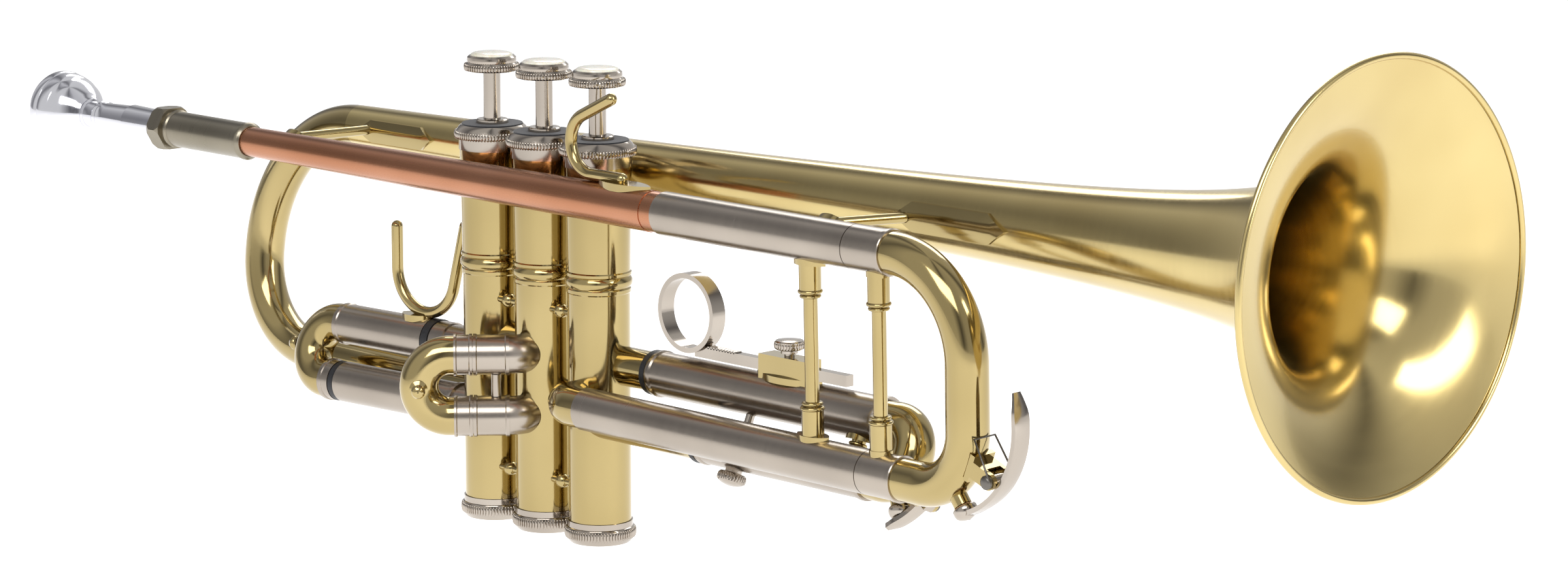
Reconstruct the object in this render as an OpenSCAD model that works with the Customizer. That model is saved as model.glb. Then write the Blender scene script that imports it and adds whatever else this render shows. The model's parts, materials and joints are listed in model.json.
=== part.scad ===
// Three-valve trumpet with adjustable slides, water keys and a removable mouthpiece.
// Origin: axis of the middle valve, at the underside of the bottom caps.
// +X runs toward the bell, +Y toward the bell tube's side, +Z up. Millimetres.

/* [Valves] */
// Distance between neighbouring valve axes
valve_pitch = 25; // [24:0.5:26]
// Outside radius of a valve casing
casing_r = 9.8; // [9.6:0.1:9.9]
// Bore radius of a valve casing
casing_bore_r = 8.5; // [8.4:0.05:8.6]
// Radial running clearance of every piston and slide
fit = 0.05; // [0.03:0.01:0.08]
// Height of the top end of a valve casing
casing_top = 123.8; // [123:0.1:124.5]
// Full travel of a valve
valve_travel = 15; // [14:0.1:15]
// Radius of a valve stem
stem_r = 2.7; // [2.5:0.1:2.8]

/* [Tubes] */
// Inside radius of the sounding bore
bore_r = 5.83; // [5.6:0.01:5.85]
// Outside radius of the sliding inner legs
leg_r = 6.15; // [6.1:0.01:6.2]
// Outside radius of the outer slide tubes
sleeve_r = 6.6; // [6.5:0.05:6.7]
// Sideways place of the leadpipe axis
lead_y = -18; // [-19:0.1:-17.5]
// Height of the leadpipe axis
lead_z = 111.3; // [110.5:0.1:112]
// Sideways place of the lower main tube
main_low_y = -16.2; // [-17:0.1:-16]
// Height of the lower main tube
main_low_z = 45.7; // [44.5:0.1:46.5]

/* [Bell] */
// Place of the bell's rim along X
rim_x = 316.3; // [310:0.1:320]
// Sideways place of the bell axis
bell_y = 21.4; // [21:0.1:23]
// Height of the bell axis at the rim
rim_z = 117.6; // [116.5:0.1:118.5]
// Angle by which the bell rises toward its rim
bell_rise = 0.52; // [0:0.02:0.6]
// Radius of the bell tube where the bow begins
bell_tail_r = 6.7; // [6.6:0.05:6.9]
// Length of the straight bell from bow to rim
bell_len = 434.3; // [430:0.1:438]
// Size of the flare
flare_size = 43.8; // [43:0.1:44.5]
// Distance from the rim to the flare curve's pole
flare_pole = 7.25; // [7:0.05:7.5]
// Steepness of the flare
flare_power = 0.672; // [0.66:0.002:0.68]
// Steady widening of the bell tube per millimetre
bell_taper = 0.0063; // [0.005:0.0001:0.007]
// Wall thickness of the bell
bell_wall = 0.6; // [0.5:0.05:0.8]

/* [Bell bow] */
// Radius of the bow's upper quarter
bow_top_r = 46; // [44:0.5:47]
// Radius of the bow's lower quarter
bow_low_r = 30; // [29:0.5:31]
// Sideways place of the bell tail
tail_y = 12; // [11.8:0.1:12.5]
// Height of the bell tail
tail_z = 36.5; // [35.5:0.1:37]

/* [Main tuning slide] */
// Where the fixed upper slide tube begins
upper_tube_x = 75.3; // [74:0.1:77]
// Where the fixed upper slide tube ends
upper_joint_x = 156; // [155:0.1:157]
// Where the fixed lower slide tube begins
lower_tube_x = 37.3; // [37:0.1:38]
// Where the fixed lower slide tube ends
lower_joint_x = 160; // [159:0.1:161]
// Radius of the bow's upper corner
tuning_top_r = 28.6; // [28:0.1:29]
// Radius of the bow's lower corner
tuning_low_r = 18; // [17:0.1:19]
// Outside radius of the tuning bow
tuning_r = 6.33; // [6.3:0.01:6.4]
// Where the brass tuning bow begins on the upper leg
tuning_bow_x = 171; // [170.5:0.1:172]

/* [First slide] */
// Angle by which the first slide leans out to the right
slide_1_angle = 4.3; // [3:0.1:5]
// Height of the first slide's upper tube
slide_1_top_z = 52.2; // [51.5:0.1:52.5]
// Height of the first slide's lower tube
slide_1_low_z = 34.7; // [34.5:0.1:35.5]
// Sideways place of either tube at the casing
slide_1_y = 3.5; // [3.2:0.1:3.5]

/* [Second slide] */
// Angle by which the second slide turns back to the player
slide_2_angle = 41; // [38:0.5:43]
// Height of the second slide's upper tube
slide_2_top_z = 57.1; // [56.5:0.1:57.5]
// Height of the second slide's lower tube
slide_2_low_z = 37.6; // [37.3:0.1:37.9]
// Outside radius of the second slide's sleeves
slide_2_r = 6.3; // [6.3:0.05:6.4]

/* [Third slide] */
// Sideways place of the third slide's upper tube
slide_3_top_y = 3.5; // [3.2:0.1:3.5]
// Height of the third slide's upper tube
slide_3_top_z = 55.95; // [55.5:0.05:56.5]
// Sideways place of the third slide's lower tube
slide_3_low_y = -3.5; // [-3.5:0.1:-3.2]
// Height of the third slide's lower tube
slide_3_low_z = 40; // [39.6:0.1:40.2]
// Outside radius of the upper moving sleeve
slide_3_sleeve_r = 6.85; // [6.8:0.05:6.9]

/* [Hidden] */
$fn = 64;

BRASS = "#c9a85a";
NICKEL = "#a39c94";
SILVER = "#d9d9de";
COPPER = "#a3694a";
PEARL = "#e9e2cf";
BLACK = "#2b2b30";
CORK = "#b98a5a";
STEEL = "#6c6a68";

// Same body: how far a tube's end stays off the casing it meets
seat_r = casing_r - 0.001;
// How far from its casing's axis a bent tube may begin
port_reach = casing_r - 0.1;
// Different bodies: gap left at every joint line
joint_gap = 0.3;
tube_wall = 0.5;
bell_start_x = rim_x - bell_len;
bell_start_z = rim_z - bell_len * sin(bell_rise);

button_z = 143.1;
hub_top = button_z - valve_travel - joint_gap;
cap_z = 118.3;
guide_z = 84;
guide_h = 3;
barrel_roof = 110.5;

main_drop = norm([lead_z - main_low_z, main_low_y - lead_y]);
tuning_end_x = tuning_bow_x + tuning_top_r;
slide_1_drop = norm([slide_1_top_z - slide_1_low_z, 2 * slide_1_y]);
slide_1_joint = 73;
slide_2_drop = slide_2_top_z - slide_2_low_z;
slide_2_elbow_r = 6.5;
slide_2_joint = 11.2;
slide_3_drop = norm([slide_3_top_z - slide_3_low_z, slide_3_top_y - slide_3_low_y]);
slide_3_joint = 148;
slide_3_crest = 152.7;
bow_drop = norm([bell_start_z - tail_z, bell_y - tail_y]);

lyre_x = 92.5;
ring_bar_z = 65.6;
saddle_x = 106.5;
saddle_len = 20;

// ---- Building blocks -------------------------------------------------------

// Ring-shaped section of a tube
module section(ro, ri) {
    difference() {
        circle(r = ro);
        circle(r = ri);
    }
}

// Straight tube along +X; children carry on from its end
module run(length, ro, ri) {
    rotate([90, 0, 90]) linear_extrude(height = length) section(ro, ri);
    translate([length, 0, 0]) children();
}

// Tube that turns toward +Y; children carry on from its end
module turn(radius, angle, ro, ri) {
    translate([0, radius, 0])
        rotate([0, 0, -90])
        rotate_extrude(angle = angle)
        translate([radius, 0])
        rotate(90)
        section(ro, ri);
    translate([radius * sin(angle), radius * (1 - cos(angle)), 0])
        rotate([0, 0, angle])
        children();
}

// Solid rod versions of run and turn
module rod(length, r) {
    rotate([0, 90, 0]) cylinder(h = length, r = r);
    translate([length, 0, 0]) children();
}

module rod_turn(radius, angle, r) {
    translate([0, radius, 0])
        rotate([0, 0, -90])
        rotate_extrude(angle = angle)
        translate([radius, 0])
        circle(r = r);
    translate([radius * sin(angle), radius * (1 - cos(angle)), 0])
        rotate([0, 0, angle])
        children();
}

// Plane that holds a U of two tubes: +Y runs from the upper to the lower one
module loop_plane(top_y, top_z, low_y, low_z) {
    translate([0, top_y, top_z])
        rotate([-atan2(top_z - low_z, low_y - top_y), 0, 0])
        children();
}

module main_plane() {
    loop_plane(lead_y, lead_z, main_low_y, main_low_z) children();
}

// Frame of the first slide: +X runs away from the casing
module slide_1_frame() {
    translate([-valve_pitch, 0, 0]) rotate([0, 0, slide_1_angle]) mirror([1, 0, 0]) children();
}

module slide_1_plane() {
    slide_1_frame()
        loop_plane(slide_1_y, slide_1_top_z, -slide_1_y, slide_1_low_z)
        children();
}

// Frame of the second slide: +X runs away from the casing, past the elbows
module slide_2_frame() {
    translate([0, -port_reach, 0])
        rotate([0, 0, -90])
        translate([slide_2_elbow_r * sin(slide_2_angle), -slide_2_elbow_r * (1 - cos(slide_2_angle)), 0])
        rotate([0, 0, -slide_2_angle])
        children();
}

module slide_3_plane() {
    loop_plane(slide_3_top_y, slide_3_top_z, slide_3_low_y, slide_3_low_z) children();
}

// Straight bell axis, from the bow's end toward the rim as +Z
module bell_axis() {
    translate([bell_start_x, bell_y, bell_start_z]) rotate([0, 90 - bell_rise, 0]) children();
}

function flare_at(d) = flare_size * pow((bell_len - d + flare_pole) / 10, -flare_power);
function bell_radius(d) = bell_tail_r + bell_taper * d + flare_at(d) - flare_at(0);
function bell_slope(d) = (bell_radius(d + 0.05) - bell_radius(d - 0.05)) / 0.1;
// Places of the bell outline's points, closer together toward the rim
function bell_step(i, n) = bell_len * (1 - pow(1 - i / n, 2.6));

// Turned collar: a disc with a rounded edge
module bead(r, edge) {
    rotate_extrude() union() {
        translate([0, -edge]) square([r - edge, 2 * edge]);
        translate([r - edge, 0]) circle(r = edge);
    }
}

// Lens-shaped foot that lies on a tube whose axis is depth below it
module foot(length, width, tube_r, thick) {
    arc_r = (length * length + width * width) / (4 * width);
    difference() {
        translate([0, 0, tube_r - 1.2]) linear_extrude(height = 1.2 + thick) intersection() {
            translate([0, arc_r - width / 2]) circle(r = arc_r);
            translate([0, width / 2 - arc_r]) circle(r = arc_r);
        }
        translate([-length, 0, 0]) rotate([0, 90, 0]) cylinder(h = 2 * length, r = tube_r + 0.02);
    }
}

// Turned slide brace between two parallel tubes, along +Z from the first tube's axis
module brace(drop, tube_r, foot_len) {
    socket = 10.5;
    base = tube_r + 0.3;
    difference() {
        union() {
            translate([0, 0, base]) cylinder(h = drop - 2 * base, r = 2.1);
            for (end = [0, 1])
                translate([0, 0, end * drop]) rotate([180 * end, 0, 0]) {
                    translate([0, 0, base - 1]) cylinder(h = socket - 1.5, r = 3.3);
                    translate([0, 0, base + socket - 1.9]) bead(3.7, 0.6);
                    translate([0, 0, base + socket - 0.5]) bead(3.2, 0.5);
                    foot(foot_len, 7, tube_r, 0.9);
                }
        }
        for (z = [0, drop])
            translate([-20, 0, z]) rotate([0, 90, 0]) cylinder(h = 40, r = tube_r + 0.02);
    }
}

// Round wire bent round a helix, as rings of points joined by quads
module helix(coil_r, wire_r, height, turns) {
    sides = 6;
    steps = 14 * turns;
    function ring(i) = let (a = 360 * turns * i / steps, z = height * i / steps) [
        for (k = [0:sides - 1])
            let (b = 360 * k / sides, r = coil_r + wire_r * cos(b))
            [r * cos(a), r * sin(a), z + wire_r * sin(b)]
    ];
    points = [for (i = [0:steps]) each ring(i)];
    walls = [
        for (i = [0:steps - 1], k = [0:sides - 1])
            let (n = (k + 1) % sides)
            each [
                [i * sides + k, (i + 1) * sides + k, i * sides + n],
                [i * sides + n, (i + 1) * sides + k, (i + 1) * sides + n]
            ]
    ];
    near_end = [for (k = [0:sides - 1]) k];
    far_end = [for (k = [sides - 1:-1:0]) steps * sides + k];
    polyhedron(points = points, faces = concat(walls, [near_end, far_end]), convexity = 10);
}

module at_valve(k) {
    translate([(k - 2) * valve_pitch, 0, 0]) children();
}

// ---- Valve casings ---------------------------------------------------------

// Outline of a casing: threaded ends, lower tube, balusters and the wider upper tube
module casing_tube() {
    rotate_extrude() polygon([
        [casing_bore_r, 1.2], [9.2, 1.2], [9.2, 6.8], [casing_r, 6.8], [casing_r, 78.7],
        [10.1, 79.1], [10.1, 80.1], [casing_r, 80.5], [10.2, 81.0], [10.55, 81.7], [10.55, 82.9],
        [10.2, 83.6], [9.9, 84.0], [10.3, 84.5], [10.3, 85.3], [9.9, 85.7], [10.4, cap_z],
        [9.2, cap_z], [9.2, casing_top], [casing_bore_r, casing_top]
    ]);
}

// Passage through the wall, along +X from the casing's axis
module port(y, z) {
    translate([0, y, z]) rotate([0, 90, 0]) cylinder(h = 14, r = bore_r - 0.03);
}

// Two keyways that hold the valve guide
module guide_slots(k) {
    for (side = [0, 180])
        rotate([0, 0, 45 + side]) translate([7, -2.05, guide_z - 0.05]) cube([2.2, 4.1, guide_h + 0.1]);
}

cross_z = [57.5, 42.5];

module casing(k) {
    color(BRASS) at_valve(k) difference() {
        casing_tube();
        guide_slots(k);
        if (k > 1) rotate([0, 0, 180]) port(0, cross_z[k - 2]);
        if (k < 3) port(0, cross_z[k - 1]);
        if (k == 1) {
            rotate([0, 0, 180 - 50]) port(0, tail_z);
            rotate([0, 0, slide_1_angle]) mirror([1, 0, 0]) {
                port(slide_1_y, slide_1_top_z);
                port(-slide_1_y, slide_1_low_z);
            }
        }
        if (k == 2) rotate([0, 0, -90]) {
            port(0, slide_2_top_z);
            port(0, slide_2_low_z);
        }
        if (k == 3) {
            port(slide_3_top_y, slide_3_top_z);
            port(slide_3_low_y, slide_3_low_z);
            rotate([0, 0, -90]) port(0, main_low_z);
        }
    }
}

// Crossover tubes between casings and the turned balls that space them
module casing_links() {
    color(BRASS) for (k = [1, 2]) {
        difference() {
            translate([(k - 1.5) * valve_pitch - 6, 0, cross_z[k - 1]]) run(12, leg_r, bore_r);
            for (j = [k, k + 1]) at_valve(j) cylinder(h = 120, r = seat_r);
        }
        for (z = [17.5, 71.6])
            difference() {
                translate([(k - 1.5) * valve_pitch, -4.5, z]) rotate([0, 90, 0]) {
                    sphere(r = 2.3);
                    translate([0, 0, -4.5]) cylinder(h = 9, r = 1.1);
                }
                for (j = [k, k + 1]) at_valve(j) cylinder(h = 120, r = seat_r);
            }
    }
}

// Top caps with a knurled rim and a hub for the stem
module top_caps() {
    color(NICKEL) for (k = [1:3]) at_valve(k) rotate_extrude() polygon([
        [9.25, cap_z + 0.02], [10.7, cap_z + 0.02], [10.7, 121.8], [11.5, 122.0], [11.8, 122.4],
        [11.8, 123.7], [11.5, 124.2], [10.6, 125.5], [9.9, 126.1], [9.7, 126.1], [9.7, 125.7],
        [5.1, 125.7], [5.1, hub_top - 0.3], [4.7, hub_top], [stem_r + 0.08, hub_top],
        [stem_r + 0.08, casing_top + 0.05], [9.25, casing_top + 0.05]
    ]);
}

module cap_felts() {
    color(BLACK) for (k = [1:3]) at_valve(k) translate([0, 0, 125.75]) linear_extrude(height = 0.75)
        section(9.6, 5.15);
}

module bottom_caps() {
    color(NICKEL) for (k = [1:3]) at_valve(k) rotate_extrude() polygon([
        [0, 0], [9.6, 0], [10.3, 0.8], [10.8, 1.6], [10.85, 4.3], [10.6, 4.8], [10.25, 5.0],
        [10.25, 6.78], [9.25, 6.78], [9.25, 1.15], [7.5, 1.0], [0, 1.0]
    ]);
}

// Star-shaped guides that keep each piston from turning
module valve_guides() {
    color(PEARL) for (k = [1:3]) at_valve(k) translate([0, 0, guide_z]) difference() {
        union() {
            cylinder(h = guide_h, r = 6.6);
            rotate([0, 0, 45]) translate([-9.1, -1.9, 0]) cube([18.2, 3.8, guide_h]);
        }
        translate([0, 0, -1]) cylinder(h = guide_h + 2, r = 3);
    }
}

// ---- Moving valve parts ----------------------------------------------------

// Piston with its wind passages and the slotted spring barrel above them
module piston(k) {
    slot_h = valve_travel + guide_h + 1.4;
    color(NICKEL) at_valve(k) difference() {
        rotate_extrude() polygon([
            [0, 34.5], [6.5, 34.5], [6.5, 26.5], [casing_bore_r - fit, 26.5],
            [casing_bore_r - fit, 114.5], [1.9, 114.5], [1.9, barrel_roof], [7.2, barrel_roof],
            [7.2, 80.5], [0, 80.5]
        ]);
        rotate([0, 0, 45]) translate([-10, -2.2, guide_z - 0.7]) cube([20, 4.4, slot_h]);
        translate([-10, 0, cross_z[1]]) rotate([0, 90, 0]) cylinder(h = 20, r = 5.2);
        rotate([0, 0, 70]) translate([-10, 0, 61]) rotate([0, 90, 0]) cylinder(h = 20, r = 5.2);
    }
}

module valve_stem(k) {
    color(NICKEL) at_valve(k) rotate_extrude() polygon([
        [0, 111.1], [1.85, 111.1], [1.85, 114.55], [4.2, 114.55], [4.2, 115.9], [stem_r, 116.4],
        [stem_r, button_z + 0.4], [1.7, button_z + 0.4], [1.7, button_z + 3], [0, button_z + 3]
    ]);
}

module finger_button(k) {
    color(NICKEL) at_valve(k) translate([0, 0, button_z]) rotate_extrude() polygon([
        [1.75, 0.45], [4, 0.45], [4, 0], [7.9, 0], [8.4, 0.5], [8.5, 1.2], [8.4, 2.0], [7.9, 2.5],
        [7.7, 2.7], [7.85, 3.2], [7.75, 4.3], [7.1, 4.9], [6.75, 4.9], [6.75, 3.9], [1.75, 3.9]
    ]);
}

// Domed inlay in the top of a finger button
module button_pearl(k) {
    color(PEARL) at_valve(k) translate([0, 0, button_z + 3.92]) rotate_extrude() polygon([
        [0, 0], [6.7, 0], [6.7, 1.0], [6.4, 1.5], [5.6, 1.85], [3, 2.1], [0, 2.2]
    ]);
}

module valve_spring(k) {
    spring_z = guide_z + guide_h + 0.45;
    color(STEEL) at_valve(k) translate([0, 0, spring_z]) helix(5.4, 0.4, barrel_roof - spring_z - 0.45, 7);
}

// ---- Leadpipe and main tubes -----------------------------------------------

// Outline of the leadpipe, grown all round by extra
module leadpipe_outside(extra) {
    translate([-160, lead_y, lead_z]) rotate([0, 90, 0]) {
        cylinder(h = 40, r = 4.9 + extra);
        translate([0, 0, 40]) cylinder(h = 190, r1 = 4.9 + extra, r2 = 6.35 + extra);
    }
}

module leadpipe() {
    color(COPPER) difference() {
        union() {
            leadpipe_outside(0);
            translate([70, lead_y, lead_z]) rotate([0, 90, 0]) cylinder(h = 10, r = leg_r);
        }
        translate([-160, lead_y, lead_z]) rotate([0, 90, 0]) {
            translate([0, 0, -1]) cylinder(h = 41, r = 4.4);
            translate([0, 0, 40]) cylinder(h = 190, r1 = 4.4, r2 = bore_r);
            translate([0, 0, 230]) cylinder(h = 11, r = bore_r);
        }
    }
}

// Receiver with a hexagonal collar and a tapered socket for the mouthpiece
module receiver() {
    color(NICKEL) translate([-174.5, lead_y, lead_z]) rotate([0, 90, 0]) difference() {
        union() {
            intersection() {
                rotate([0, 0, 30]) cylinder(h = 6.5, r = 7.9, $fn = 6);
                translate([0, 0, -0.01]) cylinder(h = 6.52, r1 = 7.2, r2 = 9.5);
                translate([0, 0, -0.01]) cylinder(h = 6.52, r1 = 9.7, r2 = 7.3);
            }
            rotate_extrude() polygon([
                [5.0, 6.4], [5.95, 6.4], [5.95, 7.6], [6.4, 8.1], [6.4, 8.7], [5.95, 9.2],
                [5.95, 45.8], [6.2, 46.2], [6.2, 46.9], [5.9, 47.6], [5.3, 48.2], [5.0, 48.2]
            ]);
        }
        translate([0, 0, 14.49]) cylinder(h = 40, r = 4.92);
        translate([0, 0, -0.5]) cylinder(h = 15, r1 = 5.312, r2 = 4.952);
    }
}

// Mouthpiece: rim, cup, throat, backbore and tapered shank
module mouthpiece() {
    color(SILVER) translate([-235.2, lead_y, lead_z]) rotate([0, 90, 0]) rotate_extrude() polygon(concat(
        [[8.3, 1.4], [9.0, 0.5], [10.2, 0], [11.6, 0.2], [12.7, 0.9], [13.2, 2.0], [13.25, 3.7]],
        [[13.0, 4.6], [12.8, 4.9], [12.9, 5.4], [12.6, 7.2], [12.2, 8.6], [11.9, 9.1], [11.6, 9.5]],
        [[10.7, 12.2], [9.7, 13.8], [8.6, 15.2], [7.4, 16.5], [6.3, 17.5], [5.3, 18.5], [4.8, 18.9]],
        [[5.2, 19.3], [5.2, 19.9], [4.6, 20.3], [4.45, 22.5], [4.5, 25.2], [4.9, 25.7], [5.1, 26.2]],
        [[4.9, 26.8], [4.7, 27.2], [4.9, 27.6], [5.1, 28.2], [4.9, 28.8], [4.75, 29.2], [5.25, 43.4]],
        [[5.64, 43.9], [5.24, 60.7], [4.91, 74.5], [4.2, 74.5]],
        [[1.9, 30], [1.9, 22], [3.4, 15.5], [5.6, 11], [7.4, 6], [8.1, 2.6]]
    ));
}

// The two fixed outer tubes of the main tuning slide
module main_slide_tubes() {
    color(NICKEL) {
        translate([upper_tube_x, lead_y, lead_z])
            run(upper_joint_x - upper_tube_x, sleeve_r, leg_r + fit);
        translate([lower_tube_x, main_low_y, main_low_z])
            run(lower_joint_x - lower_tube_x, sleeve_r, leg_r + fit);
    }
}

// Short straight stub that leaves casing k along the direction a, cut to the casing's wall
module stub(k, a, y, z, reach, ro, ri) {
    at_valve(k) difference() {
        rotate([0, 0, a]) translate([2, y, z]) run(reach - 2, ro, ri);
        cylinder(h = 120, r = seat_r);
    }
}

// Elbow from the third casing into the lower slide tube
module lower_knuckle() {
    elbow_r = -main_low_y - port_reach;
    color(BRASS) {
        translate([lower_tube_x + 5, main_low_y, main_low_z]) mirror([1, 0, 0])
            run(5, leg_r, bore_r)
            run(lower_tube_x - valve_pitch - elbow_r, leg_r + 0.1, bore_r)
            turn(elbow_r, 90, leg_r + 0.1, bore_r);
        stub(3, -90, 0, main_low_z, port_reach, leg_r + 0.1, bore_r);
    }
}

// ---- Bell ------------------------------------------------------------------

module bell() {
    count = 34;
    steps = [for (i = [0:count]) bell_step(i, count)];
    rim_r = bell_radius(bell_len);
    outside = [for (d = steps) [bell_radius(d), d]];
    rim = [for (a = [-30:30:180]) [rim_r - 0.45 + cos(a), bell_len + 0.45 + sin(a)]];
    inside = [
        for (i = [count:-1:0])
            let (d = steps[i], s = bell_slope(d), n = norm([1, s]))
            [bell_radius(d) - bell_wall / n, d + bell_wall * s / n]
    ];
    color(BRASS) bell_axis() rotate_extrude() polygon(concat(outside, rim, inside));
}

// Bell bow and the tail that follows it
module bell_bow() {
    bell_tail();
    color(BRASS) mirror([1, 0, 0]) translate([-bell_start_x, 0, 0])
        loop_plane(bell_y, bell_start_z, tail_y, tail_z)
        turn(bow_top_r, 90, bell_tail_r, bell_tail_r - tube_wall)
        run(bow_drop - bow_top_r - bow_low_r, bell_tail_r, bell_tail_r - tube_wall)
        turn(bow_low_r, 90, bell_tail_r, bell_tail_r - tube_wall);
}

// Bell tail: tapers down, then turns into the first casing
module bell_tail() {
    tail_x = bell_start_x - bow_top_r + bow_low_r;
    elbow_x = -39.3;
    color(BRASS) {
        translate([tail_x, tail_y, tail_z]) {
            rotate([0, 90, 0]) rotate_extrude() polygon([
                [bell_tail_r - tube_wall, 0], [bell_tail_r, 0], [6.25, 34], [6.25, elbow_x - tail_x],
                [bore_r, elbow_x - tail_x], [bore_r, 34]
            ]);
            translate([elbow_x - tail_x + 0.01, 0, 0]) mirror([0, 1, 0]) turn(9, 50, 6.25, bore_r);
        }
        stub(1, 130, 0, tail_z, 11.45, 6.25, bore_r);
    }
}

// Pointed foot that wraps the bell tube, from x0 to x1 along the bell
module bell_foot(x0, x1, height) {
    d0 = x0 - bell_start_x;
    d1 = x1 - bell_start_x;
    ra = bell_radius(d0);
    rb = bell_radius(d1);
    tip = height * 0.8;
    bell_axis() translate([0, 0, d0]) intersection() {
        translate([0, -5, 0]) rotate([90, -90, 0]) linear_extrude(height = 16) polygon([
            [0, 0], [tip, height / 2], [d1 - d0 - tip, height / 2], [d1 - d0, 0],
            [d1 - d0 - tip, -height / 2], [tip, -height / 2]
        ]);
        difference() {
            cylinder(h = d1 - d0, r1 = ra + 1.1, r2 = rb + 1.1);
            translate([0, 0, -0.01]) cylinder(h = d1 - d0 + 0.02, r1 = ra + 0.03, r2 = rb + 0.03);
        }
    }
}

// Fixed braces: one across the main tubes and two cranked ones that carry the bell
module horn_braces() {
    strut_r = 1.6;
    color(BRASS) {
        main_plane() translate([137, 0, 0]) rotate([-90, 0, 0]) brace(main_drop, sleeve_r, 13);
        bell_foot(144, 190, 9);
        difference() {
            translate([141, lead_y + 5.3, lead_z + 4.4]) {
                rotate([0, 0, 70]) rod(23.36, strut_r);
                translate([0, -5.3, -4.4]) rotate([-50, 0, 0]) foot(12, 7, sleeve_r, 0.9);
            }
            translate([120, lead_y, lead_z]) rotate([0, 90, 0]) cylinder(h = 40, r = sleeve_r + 0.02);
        }
        bell_foot(-110, -72, 7.5);
        difference() {
            translate([-108, lead_y + 4.1, lead_z + 3]) {
                rotate([0, 0, 83]) rod(28.3, strut_r);
                translate([0, -4.1, -3]) rotate([-54, 0, 0]) foot(11, 6, 4.6, 1.3);
            }
            leadpipe_outside(0.02);
        }
    }
}

// Open hook for the little finger
module pinky_hook() {
    hook_r = 1.9;
    color(BRASS) difference() {
        union() {
            translate([56, lead_y, lead_z + 8.1]) rotate([90, 0, 180]) {
                sphere(r = hook_r);
                rod(13.6, hook_r) rod_turn(9.3, 155, hook_r) rod(14.3, hook_r) sphere(r = hook_r);
            }
            translate([57, lead_y, lead_z]) foot(24, 8, 6.1, 1.1);
        }
        leadpipe_outside(0.02);
    }
}

// ---- Water keys ------------------------------------------------------------
// Both keys are laid out round the centre of the bend they sit on: +X is outward.

// Nipple and hinge saddle soldered to a bend of radius bend_r and tube radius tube_r
module key_mount(bend_r, tube_r, nipple_a, pivot_a, pivot_d) {
    out = bend_r + tube_r;
    rotate([0, 0, nipple_a]) translate([out - 1.2, 0, 0]) rotate([0, 90, 0]) difference() {
        cylinder(h = 3.6, r = 2.7);
        translate([0, 0, -0.1]) cylinder(h = 3.8, r = 1.5);
    }
    rotate([0, 0, pivot_a]) translate([pivot_d, 0, -5.4]) cylinder(h = 10.8, r = 0.9);
    difference() {
        rotate([0, 0, pivot_a]) {
            translate([out - 1.2, -2.4, -4.2]) cube([pivot_d - out + 1.2, 4.8, 8.4]);
            translate([pivot_d, 0, -4.2]) cylinder(h = 8.4, r = 2.4);
            translate([out - 1.2, -4.2, -4.2]) cube([1.8, 8.4, 8.4]);
        }
        rotate([0, 0, pivot_a]) translate([pivot_d - 2.8, -5, -2.7]) cube([6, 10, 5.4]);
        rotate_extrude() translate([bend_r, 0]) circle(r = tube_r + 0.02);
    }
}

// Hole through the bend's wall for the nipple
module key_hole(bend_r, nipple_a) {
    rotate([0, 0, nipple_a]) translate([bend_r, 0, 0]) rotate([0, 90, 0]) cylinder(h = 8, r = 2.72);
}

// Barrel, cup and cup stem of a key; dist is where the nipple ends
module key_works(dist, nipple_a, pivot_a, pivot_d, stem) {
    difference() {
        rotate([0, 0, pivot_a]) translate([pivot_d, 0, -2.4]) cylinder(h = 4.8, r = 1.8);
        rotate([0, 0, pivot_a]) translate([pivot_d, 0, -3]) cylinder(h = 6, r = 1);
    }
    rotate([0, 0, nipple_a]) translate([dist, 0, 0]) rotate([0, 90, 0]) {
        difference() {
            cylinder(h = 3.2, r = 3.5);
            translate([0, 0, -0.1]) cylinder(h = 2.2, r = 2.92);
        }
        translate([0, 0, 3.1]) cylinder(h = stem, r = 1.6);
    }
}

// Cork pad that stops just clear of the nipple
module key_pad(dist, nipple_a) {
    rotate([0, 0, nipple_a]) translate([dist, 0, 0]) rotate([0, 90, 0]) translate([0, 0, -0.5])
        cylinder(h = 2.58, r = 2.9);
}

// Wire spring: two coils on the hinge screw, joined by a loop that leans on the bend
module key_wire(pivot_a, pivot_d, lean, reach) {
    wire_r = 0.35;
    rotate([0, 0, pivot_a]) translate([pivot_d, 0, 0]) {
        for (side = [-1, 1]) translate([0, 0, side * 4.85])
            rotate_extrude() translate([1.35, 0]) circle(r = wire_r);
        rotate([0, 0, lean]) translate([0, 1.8, 4.85]) rotate([0, 90, 0]) cylinder(h = reach, r = wire_r);
        rotate([0, 0, lean]) translate([0, 1.8, -4.85]) rotate([0, 90, 0]) cylinder(h = reach, r = wire_r);
        rotate([0, 0, lean]) translate([reach - 0.8, 1.8, -4.9]) cylinder(h = 9.8, r = wire_r * 0.8);
    }
}

main_key = [54, 22.2, 31.75];
third_key = [57, 33, 21.6];

module main_bend() {
    main_plane() translate([tuning_end_x - tuning_low_r, main_drop - tuning_low_r, 0]) children();
}

module third_bend() {
    slide_3_plane() translate([slide_3_crest, slide_3_drop / 2, 0]) children();
}

module main_key_saddle() {
    color(BRASS) main_bend() key_mount(tuning_low_r, tuning_r, main_key[0], main_key[1], main_key[2]);
}

module third_key_saddle() {
    color(BRASS) third_bend()
        key_mount(slide_3_drop / 2, tuning_r, third_key[0], third_key[1], third_key[2]);
}

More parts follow.
